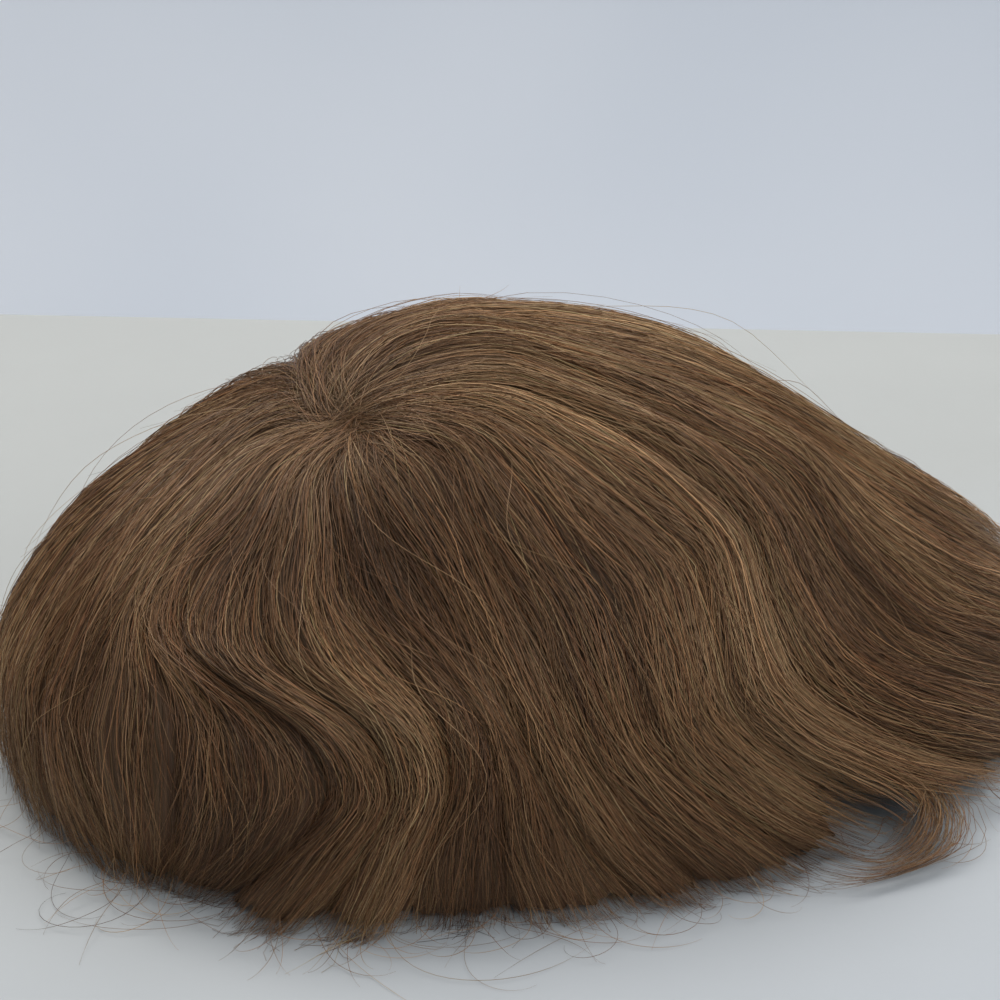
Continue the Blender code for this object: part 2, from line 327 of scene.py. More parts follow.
net_weave, tree, shader = add_material("skin_tone_net", 0.7)
place = add_node(tree, "ShaderNodeTexCoord")
cells = add_node(tree, "ShaderNodeTexVoronoi", Scale=900.0, feature="DISTANCE_TO_EDGE")
threads = add_ramp(tree, ((0.05, (0.42, 0.27, 0.18)), (0.22, (0.20, 0.12, 0.08))))
knots = add_node(tree, "ShaderNodeBump", Strength=0.5, Distance=0.0003, invert=True)
connect(
    tree,
    (place, "Object", cells, "Vector"),
    (cells, "Distance", threads, "Fac"),
    (threads, "Color", shader, "Base Color"),
    (cells, "Distance", knots, "Height"),
    (knots, "Normal", shader, "Normal"),
)

bpy.ops.mesh.primitive_uv_sphere_add(segments=96, ring_count=36, radius=1.0)
base_cap = bpy.context.object
base_cap.name = "base_cap_net"
bpy.ops.object.mode_set(mode="EDIT")
bpy.ops.mesh.select_all(action="SELECT")
bpy.ops.mesh.bisect(plane_co=(0, 0, 0), plane_no=(0, 0, 1), clear_inner=True)
bpy.ops.object.mode_set(mode="OBJECT")
dome_points = mesh_points(base_cap)
reach = CAP_REACH * np.degrees(np.arccos(np.clip(dome_points[:, 2], 0, 1))) / 90
turn = np.arctan2(dome_points[:, 1], dome_points[:, 0])
u, v = reach * np.cos(turn), reach * np.sin(turn)
drawn = inner_dome(u, v) - facing_out(inner_dome, u, v) * CAP_GAP + DOME_MIDDLE
base_cap.data.vertices.foreach_set("co", drawn.ravel())
thickness = base_cap.modifiers.new("net_thickness", "SOLIDIFY")
thickness.thickness = NET_THICKNESS
thickness.offset = -1.0
bpy.ops.object.modifier_apply(modifier=thickness.name)
bpy.ops.object.shade_smooth_by_angle(angle=0.8)
base_cap.data.materials.append(net_weave)

RIM_RADIUS = 0.0011
RING_RADIUS = 0.25
bpy.ops.mesh.primitive_torus_add(
    major_segments=96, minor_segments=10, major_radius=1.0, minor_radius=RING_RADIUS
)
rim = bpy.context.object
rim.name = "base_cap_rim"
ring_points = mesh_points(rim)
turn = np.arctan2(ring_points[:, 1], ring_points[:, 0])
outward = (np.hypot(ring_points[:, 0], ring_points[:, 1]) - 1.0) / RING_RADIUS
upward = ring_points[:, 2] / RING_RADIUS
u, v = CAP_REACH * np.cos(turn), CAP_REACH * np.sin(turn)
normal = facing_out(inner_dome, u, v)
around_rim = np.stack([-np.sin(turn), np.cos(turn), 0 * turn], -1)
up_wall = unit(np.cross(normal, around_rim))
rim_middle = inner_dome(u, v) - normal * (CAP_GAP + RIM_RADIUS)
bound = rim_middle + (normal * outward[:, None] + up_wall * upward[:, None]) * RIM_RADIUS
rim.data.vertices.foreach_set("co", (bound + DOME_MIDDLE).ravel())
bpy.ops.object.shade_smooth()
rim.data.materials.append(net_weave)
for piece in (base_cap, rim):
    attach(piece, "root")
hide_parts("base_cap")


# Locks of hair: nineteen combed locks, each a dense mass under several hundred single hairs
# that start at the whorl or on the cap, run with the lock and end in thin tips at the hem.
WHORL = (-0.24, -0.12)
WHORL_RADIUS = 0.008
GROOVE = 0.0015
CROWN_POWER = 2.6
# How the hair falls: the direction of each lock's first edge, in degrees about the whorl, at
# shares of the way to the hem. The middle locks fall a little beside their CAD solids.
FLOW_SHARES = (0.0, 0.12, 0.25, 0.38, 0.50, 0.60, 0.72, 0.86, 1.0)
FLOW = (
    ("left_rear_lock", 100, 100, 97, 93, 89, 87, 86, 85, 85),
    ("nape_left_lock", 106, 110, 120, 127, 130, 131, 131, 131, 131),
    ("nape_middle_lock", 110, 116, 137, 153, 160, 164, 167, 171, 175),
    ("nape_right_lock", 128, 136, 156, 169, 176, 180, 182, 187, 192),
    ("nape_corner_lock", 148, 155, 173, 181, 187, 190, 192, 199, 204),
    ("right_rear_lock", 162, 170, 187, 190, 196, 208, 212, 212, 208),
    ("rear_wave_lock", 178, 185, 200, 199, 206, 230, 238, 231, 219),
    ("front_wave_lock", 205, 208, 218, 221, 228, 243, 248, 242, 234),
    ("right_dent_lock", 225, 228, 237, 241, 250, 256, 257, 251, 246),
    ("right_rear_fall", 245, 246, 249, 253, 259, 263, 264, 262, 261),
    ("right_front_fall", 262, 264, 266, 268, 269, 269, 270, 274, 280),
    ("temple_rear_lock", 304, 303, 287, 280, 279, 278, 278, 282, 289),
    ("temple_middle_lock", 324, 319, 304, 296, 294, 291, 289, 294, 303),
    ("temple_curl_lock", 340, 333, 320, 314, 312, 306, 301, 307, 318),
    ("low_sweep_lock", 362, 352, 336, 329, 324, 316, 312, 319, 330),
    ("middle_sweep_lock", 388, 374, 348, 340, 335, 329, 326, 333, 342),
    ("top_sweep_lock", 415, 400, 364, 354, 351, 349, 350, 355, 359),
    ("left_front_lock", 440, 432, 397, 381, 376, 373, 372, 374, 376),
    ("left_middle_lock", 452, 448, 428, 412, 407, 405, 404, 402, 402),
)
# How high each lock stands at the same shares, in hundredths of the hair's depth.
RISE = (
    (0, 12, 18, 18, 18, 18, 18, 18, 12),
    (0, 6, 12, 18, 25, 25, 25, 18, 12),
    (0, 6, 12, 18, 25, 25, 25, 18, 12),
    (0, 6, 12, 18, 18, 18, 25, 25, 12),
    (0, 6, 12, 18, 18, 25, 32, 25, 12),
    (0, 6, 12, 18, 18, 25, 32, 18, 6),
    (0, 6, 12, 12, 25, 44, 32, 25, 56),
    (0, 6, 6, 12, 25, 44, 32, 25, 50),
    (0, 0, -12, -12, 6, 25, 32, 25, 18),
    (0, 0, -12, -6, 12, 25, 25, 18, 25),
    (0, 6, 0, 6, 18, 25, 25, 25, 32),
    (0, 12, 12, 18, 25, 32, 25, 25, 25),
    (0, 12, 18, 25, 25, 32, 32, 25, 18),
    (0, 12, 18, 25, 32, 32, 38, 44, 75),
    (0, 12, 25, 32, 25, 12, 25, 38, 25),
    (0, 18, 32, 32, 32, 18, 25, 32, 25),
    (0, 25, 32, 32, 32, 32, 25, 25, 18),
    (0, 25, 25, 18, 12, 12, 12, 12, 12),
    (0, 25, 25, 18, 12, 12, 12, 12, 12),
)
# How many hairs each lock shows, how many points each hair bends at, the lock's shade from dark 0
# to light 1, its share of crossing hairs, and how far it draws in to a tuft at the hem. The shade
# is partly the lock's own tone and partly painted light: paler on the top locks, darker in the
# dent and on the right.
HAIRS = (
    ("left_rear_lock", 450, 12, 0.46, 0.16, 0.05),
    ("nape_left_lock", 410, 12, 0.44, 0.16, 0.05),
    ("nape_middle_lock", 285, 13, 0.46, 0.18, 0.05),
    ("nape_right_lock", 265, 14, 0.42, 0.20, 0.10),
    ("nape_corner_lock", 160, 15, 0.38, 0.26, 0.10),
    ("right_rear_lock", 265, 18, 0.36, 0.28, 0.15),
    ("rear_wave_lock", 310, 21, 0.34, 0.20, 0.34),
    ("front_wave_lock", 300, 21, 0.36, 0.20, 0.30),
    ("right_dent_lock", 285, 19, 0.29, 0.22, 0.22),
    ("right_rear_fall", 325, 17, 0.34, 0.22, 0.15),
    ("right_front_fall", 255, 17, 0.35, 0.22, 0.15),
    ("temple_rear_lock", 315, 17, 0.37, 0.22, 0.15),
    ("temple_middle_lock", 310, 18, 0.39, 0.20, 0.15),
    ("temple_curl_lock", 335, 20, 0.40, 0.20, 0.25),
    ("low_sweep_lock", 390, 19, 0.40, 0.18, 0.18),
    ("middle_sweep_lock", 545, 19, 0.49, 0.17, 0.12),
    ("top_sweep_lock", 585, 18, 0.54, 0.17, 0.10),
    ("left_front_lock", 520, 15, 0.54, 0.16, 0.05),
    ("left_middle_lock", 500, 13, 0.50, 0.16, 0.05),
)
# Single hairs: their size, and how far they and their clumps vary from one to the next.
HAIR_RADIUS = 0.0001
HAIR_LENGTH = 0.165
LENGTH_SPREAD = 0.018
HAIR_TONE = 0.2
CLUMP_WIDTH = 0.0042
CLUMP_HEIGHT = 0.00035
CLUMP_TONE = 0.085
SWAY = 0.0009
DRIFT = 0.0045
STRAY_DRIFT = 0.013
TIP_CURL = 130.0
# Hairs that start at the whorl lie about this far apart where a lock leaves it.
EARLY_SPACING = 0.00011
# The mass: how far it lies below the hairs, the share it ends at, and its points each way.
MASS_BELOW = 0.0019
MASS_END = 0.984
MASS_OUTER = 36
MASS_INNER = 12
MASS_ROWS = 42
# The flat layout: the mass lies in its lower share, and the hairs above in rows of cells.
UV_MASS = 0.35
UV_ROWS = 4
FULL_TURN = 2 * np.pi
LEVEL = np.array([1.0, 1.0, 0.0])
# Roots lie about the whorl on the unit disc, and those of the parted locks along the parting.
ROOT_SPREAD = 0.021
PARTING = 0.15 * np.array([np.cos(np.radians(92.0)), np.sin(np.radians(92.0))])
PARTED = (0, 1, 2, 3, 15, 16, 17, 18)
# The room past the CAD box that the longest loose hairs ease back into.
REACH_PAST = np.array([0.017, 0.0145, 0.011])
REACH_EASE = 0.004
# Locks whose ends stay short of the hem beside the hooked curl: lock, where across, how much.
NOTCHES = {12: (1.0, 0.11), 13: (0.0, 0.14)}
NOTCH_WIDTH = 0.5
# Painted shade in the dent and painted light on top: across and along the dome in metres, size,
# how much.
PAINTED_LIGHT_SPOTS = (
    (-0.053, -0.064, 0.016, -0.34),
    (-0.047, -0.084, 0.016, -0.18),
    (-0.019, -0.088, 0.020, -0.12),
    (-0.049, -0.030, 0.013, -0.14),
    (-0.020, -0.113, 0.018, 0.12),
    (-0.069, -0.108, 0.012, 0.16),
    (0.012, -0.038, 0.026, 0.30),
    (0.000, 0.002, 0.028, 0.13),
    (0.078, -0.064, 0.024, 0.06),
    (0.074, -0.094, 0.020, -0.12),
    (-0.088, -0.008, 0.022, 0.08),
)
# Where the hair lies lower than the plain dome: across, along, size and depth in metres.
HOLLOWS = (
    (0.108, -0.004, 0.031, 0.0078),
    (0.088, 0.004, 0.016, 0.0012),
)


def outer_dome(u, v):
    """Outside of the combed hair over the unit disc."""
    share = np.hypot(u, v)
    direction = np.degrees(np.arctan2(v, u))
    radius = hem_radius(direction)
    belly = (around("belly", direction), around("belly_height", direction))
    run, height = curve(share, around("shoulder", direction), belly)
    run = radius * (run + share**3 * around("foot", direction))
    turn = np.radians(direction)
    return np.stack([run * np.cos(turn), run * np.sin(turn), HEIGHT * height], -1)


def on_disc(direction, share):
    """Disc place at a share of the way from the whorl to the rim in one direction."""
    turn = np.radians(direction)
    cosine, sine = np.cos(turn), np.sin(turn)
    along = WHORL[0] * cosine + WHORL[1] * sine
    length = np.sqrt(along**2 - (WHORL[0] ** 2 + WHORL[1] ** 2) + 1.0) - along
    return WHORL[0] + share * length * cosine, WHORL[1] + share * length * sine


def edge_direction(number, share):
    """Direction of a lock's first edge; the number past the last lock is the first again."""
    row = FLOW[number % len(FLOW)][1:]
    return smooth_steps(FLOW_SHARES, row, np.clip(share, 0, 1)) + 360.0 * (number // len(FLOW))


def lock_direction(number, across, share):
    """Direction from the whorl to places across a lock."""
    first = edge_direction(number, share)
    return first + (edge_direction(number + 1, share) - first) * across


def soft_spots(places, spots):
    """Sum of round spots that fade outwards, each with its own size and amount."""
    change = np.zeros(places.shape[:-1])
    for x, y, size, amount in spots:
        apart = np.hypot(places[..., 0] - x, places[..., 1] - y)
        change = change + amount * np.exp(-((apart / size) ** 2))
    return change


def within_reach(places):
    """Places eased back where they would leave the room that loose hair may take."""
    low = np.array(cad_low) - REACH_PAST - DOME_MIDDLE
    high = np.array(cad_high) + REACH_PAST - DOME_MIDDLE
    over = np.exp(np.minimum((high - REACH_EASE - places) / REACH_EASE, 0.0))
    places = np.minimum(places, high - REACH_EASE * over)
    under = np.exp(np.minimum((places - low - REACH_EASE) / REACH_EASE, 0.0))
    return np.maximum(places, low + REACH_EASE * under)


def hem_share(number, across):
    """How far along a lock its hairs reach at a place across it."""
    middle, depth = NOTCHES.get(number, (0.0, 0.0))
    return 1.0 - depth * np.exp(-(((across - middle) / NOTCH_WIDTH) ** 2))


def combed_place(number, across, share, height, moved=(0.0, 0.0)):
    """Points at a height over a lock's surface, with the direction straight out of it."""
    u, v = on_disc(lock_direction(number, across, share), share)
    u, v = u + moved[0], v + moved[1]
    rise = smooth_steps(FLOW_SHARES, RISE[number], np.clip(share, 0, 1)) / 100.0
    crown = 1.0 - np.minimum(np.abs(2.0 * across - 1.0), 1.15) ** CROWN_POWER
    outward = facing_out(outer_dome, u, v)
    places = outer_dome(u, v)
    lift = rise * HAIR_DEPTH * (0.3 + 0.7 * crown) - 0.6 * GROOVE + height
    lift = lift - soft_spots(places, HOLLOWS)
    return places + outward * lift[..., None], outward


# How the hue shifts from hair to hair, from redder to greener brown.
HUE_STOPS = (
    (0.32, (1.12, 0.94, 0.80)),
    (0.50, (1.00, 1.00, 1.00)),
    (0.68, (0.94, 1.03, 0.90)),
)


def build_hair_colour():
    """Node group for the colour of brown hair: each hair its own tone, with soft streaks."""
    group = bpy.data.node_groups.new("hair_colour", "ShaderNodeTree")
    for way, kind, names in (
        ("INPUT", "NodeSocketFloat", ("Tone", "Along")),
        ("INPUT", "NodeSocketVector", ("Lay",)),
        ("INPUT", "NodeSocketColor", ("Dark", "Mid", "Light", "Gold")),
        ("OUTPUT", "NodeSocketColor", ("Color",)),
        ("OUTPUT", "NodeSocketFloat", ("Streak",)),
    ):
        for name in names:
            group.interface.new_socket(name, in_out=way, socket_type=kind)
    given = group.nodes.new("NodeGroupInput")
    result = group.nodes.new("NodeGroupOutput")
    place = add_node(group, "ShaderNodeTexCoord")
    spread = add_node(group, "ShaderNodeMapping", Scale=(0.9, 0.022, 1.0))
    streak = add_node(group, "ShaderNodeTexNoise", Scale=1.0, Detail=1.0)
    broad = add_node(group, "ShaderNodeTexNoise", Scale=24.0, Detail=0.0)
    streak_part = add_node(group, "ShaderNodeMath", operation="MULTIPLY_ADD")
    streak_part.inputs[1].default_value = 0.55
    broad_part = add_node(group, "ShaderNodeMath", operation="MULTIPLY_ADD")
    broad_part.inputs[1].default_value = 0.5
    tone = add_node(group, "ShaderNodeMath", operation="SUBTRACT")
    tone.inputs[1].default_value = 0.525
    darker = (given, "Dark")
    for low, high, paler in ((0.05, 0.40, "Mid"), (0.40, 0.72, "Light"), (0.74, 0.98, "Gold")):
        step = add_node(group, "ShaderNodeMapRange", **{"From Min": low, "From Max": high})
        step.interpolation_type = "SMOOTHSTEP"
        mix = add_node(group, "ShaderNodeMix", data_type="RGBA")
        connect(group, (tone, "Value", step, "Value"), (step, "Result", mix, 0))
        connect(group, (*darker, mix, 6), (given, paler, mix, 7))
        darker = (mix, 2)
    root = add_node(group, "ShaderNodeMapRange", **{"From Max": 0.30, "To Min": 0.72})
    own_hue = add_node(
        group, "ShaderNodeMapping", Scale=(0.31, 0.006, 1.0), Location=(5.0, 3.0, 8.0)
    )
    hue = add_node(group, "ShaderNodeTexNoise", Scale=1.0, Detail=0.0)
    tint = add_ramp(group, HUE_STOPS)
    tinted = add_node(group, "ShaderNodeVectorMath", operation="MULTIPLY")
    deepen = add_node(group, "ShaderNodeVectorMath", operation="SCALE")
    connect(
        group,
        (given, "Lay", spread, "Vector"),
        (spread, "Vector", streak, "Vector"),
        (streak, "Fac", streak_part, 0),
        (given, "Tone", streak_part, 2),
        (place, "Object", broad, "Vector"),
        (broad, "Fac", broad_part, 0),
        (streak_part, "Value", broad_part, 2),
        (broad_part, "Value", tone, 0),
        (given, "Lay", own_hue, "Vector"),
        (own_hue, "Vector", hue, "Vector"),
        (hue, "Fac", tint, "Fac"),
        (mix, 2, tinted, 0),
        (tint, "Color", tinted, 1),
        (given, "Along", root, "Value"),
        (tinted, "Vector", deepen, "Vector"),
        (root, "Result", deepen, "Scale"),
        (deepen, "Vector", result, "Color"),
        (streak, "Fac", result, "Streak"),
    )
    return group


def hair_material(name, roughness, dark, mid, light, gold, ridge):
    """Material of single hairs, or of the mass below them where ridge gives it relief."""
    material, tree, shader = add_material(name, roughness)
    colour = tree.nodes.new("ShaderNodeGroup")
    colour.node_tree = hair_colour
    for socket, value in zip(("Dark", "Mid", "Light", "Gold"), (dark, mid, light, gold)):
        colour.inputs[socket].default_value = (*value, 1.0)
    for socket, attribute in (("Tone", "tone"), ("Along", "along"), ("Lay", "lay")):
        reader = add_node(tree, "ShaderNodeAttribute", attribute_name=attribute)
        connect(tree, (reader, "Vector" if socket == "Lay" else "Fac", colour, socket))
    connect(tree, (colour, "Color", shader, "Base Color"))
    shader.inputs["Specular IOR Level"].default_value = 0.8
    shader.inputs["Specular Tint"].default_value = (1.0, 0.86, 0.70, 1.0)
    if ridge:
        relief = add_node(tree, "ShaderNodeBump", Strength=0.8, Distance=ridge)
        connect(tree, (colour, "Streak", relief, "Height"), (relief, "Normal", shader, "Normal"))
    return material


hair_colour = build_hair_colour()
single_hair = hair_material(
    "brown_hair",
    0.38,
    (0.082, 0.034, 0.013),
    (0.245, 0.118, 0.052),
    (0.445, 0.256, 0.124),
    (0.650, 0.425, 0.225),
    0.0,
)
# Painted shade: the mass under the hairs is about half as dark, for the depth between them.
hair_mass_painted_shade = hair_material(
    "brown_hair_mass_painted_shade",
    0.6,
    (0.040, 0.019, 0.008),
    (0.128, 0.061, 0.028),
    (0.224, 0.123, 0.060),
    (0.310, 0.192, 0.098),
    0.0003,
)


def store_hair(mesh, tone, along, lay):
    """Each point's tone with painted light and shade, share of the way to the tip and place in the
    hair.
    """
    for name, values in (("tone", tone), ("along", along)):
        mesh.attributes.new(name, "FLOAT", "POINT").data.foreach_set("value", values.ravel())
    mesh.attributes.new("lay", "FLOAT_VECTOR", "POINT").data.foreach_set("vector", lay.ravel())


def cut_in_rows(drum, rows):
    """Cuts a new cylinder across into rows, and gives each point's row and angle."""
    bpy.ops.object.mode_set(mode="EDIT")
    bpy.ops.mesh.select_all(action="DESELECT")
    bpy.ops.mesh.select_mode(type="EDGE")
    bpy.ops.object.mode_set(mode="OBJECT")
    for edge in drum.data.edges:
        low, high = (drum.data.vertices[corner].co.z for corner in edge.vertices)
        edge.select = abs(low - high) > 0.5
    bpy.ops.object.mode_set(mode="EDIT")
    bpy.ops.mesh.subdivide(number_cuts=rows - 2)
    bpy.ops.object.mode_set(mode="OBJECT")
    points = mesh_points(drum)
    row = np.rint((points[:, 2] + 0.5) * (rows - 1)).astype(int)
    return row, np.arctan2(points[:, 1], points[:, 0])


def draw_hairs(name, paths, outward, radii, tones, lengths, chance):
    """One mesh of many hairs: a three-sided stem, made once and drawn along every path."""
    count, stations = paths.shape[:2]
    turned = chance.random(count) * FULL_TURN
    bpy.ops.mesh.primitive_cylinder_add(vertices=3, radius=1.0, depth=1.0)
    stem = bpy.context.object
    ring, angle = cut_in_rows(stem, stations)
    side = np.mod(np.rint((angle - angle[0]) / (FULL_TURN / 3)), 3).astype(int)
    corners, starts, totals, flat = [], [], [], []
    for face in stem.data.polygons:
        starts.append(len(corners))
        totals.append(len(face.vertices))
        sides = [side[corner] for corner in face.vertices]
        for corner in face.vertices:
            corners.append(corner)
            if len(face.vertices) == 3:
                level = 0.0 if ring[corner] == 0 else 0.95
                flat.append((0.1 + 0.4 * side[corner], level + 0.05 * (side[corner] == 1)))
            else:
                across = 3 if side[corner] == 0 and 2 in sides else side[corner]
                flat.append((across / 3, 0.06 + 0.88 * ring[corner] / (stations - 1)))
    bpy.data.objects.remove(stem, do_unlink=True)
    corners, starts, totals, flat = (np.array(part) for part in (corners, starts, totals, flat))

    ahead = unit(np.gradient(paths, axis=1))
    beside = unit(np.cross(ahead, outward))
    upright = np.cross(beside, ahead)
    spin = angle[None, :] + turned[:, None]
    rounded = upright[:, ring] * np.cos(spin)[..., None]
    rounded = rounded + beside[:, ring] * np.sin(spin)[..., None]
    points = paths[:, ring] + rounded * radii[:, ring][..., None]
    cells = int(np.ceil(count / UV_ROWS))
    column = np.arange(count) % cells
    row = np.arange(count) // cells
    flat_u = (column[:, None] + 0.04 + 0.92 * flat[None, :, 0]) / cells
    flat_v = (row[:, None] + 0.01 + 0.98 * flat[None, :, 1]) / UV_ROWS
    flat_v = UV_MASS + (1 - UV_MASS) * flat_v

    mesh = bpy.data.meshes.new(name)
    each = len(ring)
    mesh.vertices.add(count * each)
    mesh.vertices.foreach_set("co", (points.reshape(-1, 3) + DOME_MIDDLE).ravel())
    shift = np.arange(count)[:, None]
    mesh.loops.add(count * len(corners))
    mesh.loops.foreach_set("vertex_index", (corners[None] + shift * each).ravel())
    mesh.polygons.add(count * len(starts))
    mesh.polygons.foreach_set("loop_start", (starts[None] + shift * len(corners)).ravel())
    mesh.polygons.foreach_set("loop_total", np.tile(totals, count))
    mesh.update(calc_edges=True)
    mesh.validate()
    mesh.shade_smooth()
    layer = mesh.uv_layers.new(name="OFBake")
    layer.data.foreach_set("uv", np.stack([flat_u, flat_v], -1).ravel())
    share = ring / (stations - 1)
    lay = np.zeros((count, each, 3))
    lay[..., 0] = 37.0 * np.arange(count)[:, None]
    lay[..., 1] = 1000 * lengths[:, None] * share[None, :]
    # Each hair's tone with the painted light and shade of the spots over the dome.
    tones_with_painted_light = np.clip(tones[:, None] + soft_spots(paths, PAINTED_LIGHT_SPOTS), 0, 1)
    store_hair(mesh, tones_with_painted_light[:, ring], np.tile(share, count), lay)
    mesh.materials.append(single_hair)
    piece = bpy.data.objects.new(name, mesh)
    scene.collection.objects.link(piece)
    return piece


def pack_mass(number, name, shade):
    """The dense inside of a lock: a drum drawn out along it, combed into fine ridges."""
    drum_sides = MASS_OUTER + MASS_INNER
    bpy.ops.mesh.primitive_cylinder_add(
        vertices=drum_sides, radius=1.0, depth=1.0, end_fill_type="NGON"
    )
    mass = bpy.context.object
    mass.name = name
    row, angle = cut_in_rows(mass, MASS_ROWS)
    step = np.mod(np.rint(angle / (FULL_TURN / drum_sides)), drum_sides)
    outside = step < MASS_OUTER
    across = np.where(
        outside, step / (MASS_OUTER - 1), 1 - (step - MASS_OUTER) / (MASS_INNER - 1)
    )
    start = 0.5 * WHORL_RADIUS / HALF_LENGTH
    uneven = 0.007 * np.sin(23 * across + 2 * number) + 0.005 * np.sin(57 * across + 3 * number)
    end = (MASS_END - 0.004 + uneven) * hem_share(number, across)
    share = start + (end - start) * row / (MASS_ROWS - 1)
    comb = np.sin(across * 61 + number) * 0.5 + np.sin(across * 97 + 5 * share) * 0.5
    tuck = np.clip((share - 0.80) / 0.17, 0, 1) ** 2
    height = -MASS_BELOW + 0.0003 * comb - 0.0018 * tuck
    outer = combed_place(number, across, share, height)[0]
    inner = inner_dome(*on_disc(lock_direction(number, across, share), share))
    points = np.where(outside[:, None], outer, inner)
    points[:, 2] = np.maximum(points[:, 2], 0.0015)
    mass.data.vertices.foreach_set("co", (points + DOME_MIDDLE).ravel())
    bpy.ops.object.mode_set(mode="EDIT")
    bpy.ops.mesh.select_all(action="SELECT")
    bpy.ops.mesh.normals_make_consistent(inside=False)
    bpy.ops.object.mode_set(mode="OBJECT")
    mesh = mass.data
    mesh.shade_smooth()
    while mesh.uv_layers:
        mesh.uv_layers.remove(mesh.uv_layers[0])
    layer = mesh.uv_layers.new(name="OFBake")
    for face in mesh.polygons:
        steps = [step[corner] for corner in face.vertices]
        for loop in face.loop_indices:
            corner = mesh.loops[loop].vertex_index
            if len(face.vertices) > 4:
                spot = (
                    0.02 + 0.04 * (row[corner] > 0) + 0.014 * np.cos(angle[corner]),
                    0.016 + 0.014 * np.sin(angle[corner]),
                )
            else:
                wrapped = drum_sides if step[corner] == 0 and max(steps) > 2 else step[corner]
                spot = (wrapped / drum_sides, 0.035 + 0.30 * row[corner] / (MASS_ROWS - 1))
            layer.data[loop].uv = spot
    width = lock_width(number, 0.7)
    lay = np.stack([4000 * width * across, 1000 * lock_run(number)[1][-1] * share, 0 * share], -1)
    # The mass's tone with the painted light and shade of the spots over the dome.
    tone = np.clip(shade + soft_spots(points, PAINTED_LIGHT_SPOTS), 0, 1)
    store_hair(mesh, tone, 0.3 + 0.7 * share, lay)
    mesh.materials.append(hair_mass_painted_shade)
    return mass


def lock_run(number):
    """Shares down the middle of a lock, the length of hair to each, and how much it bends."""
    shares = np.linspace(0.0, 1.0, 161)
    steps = np.diff(combed_place(number, 0 * shares + 0.5, shares, 0 * shares)[0], axis=0)
    lengths = np.concatenate([[0.0], np.linalg.norm(steps, axis=1).cumsum()])
    ahead = unit(steps)
    bends = np.arccos(np.clip((ahead[1:] * ahead[:-1]).sum(1), -1, 1))
    bends = np.concatenate([[0.0], bends.cumsum(), [bends.sum()]])
    return shares, lengths, bends


def lock_width(number, share):
    """Distance between a lock's two edges at a share of its length."""
    share = np.array(share, float)
    first, last = (combed_place(number, 0 * share + edge, share, 0 * share)[0] for edge in (0, 1))
    return np.linalg.norm(last - first, axis=-1)


def root_shift(number, about, parted, chance):
    """Shift of hairs' roots round the whorl, and along the parting in the locks beside it."""
    moved = chance.normal(0, ROOT_SPREAD, (2, len(about), 1)) * about
    if number in PARTED:
        moved = moved + chance.random(len(parted))[:, None] * parted * PARTING[:, None, None]
    return moved


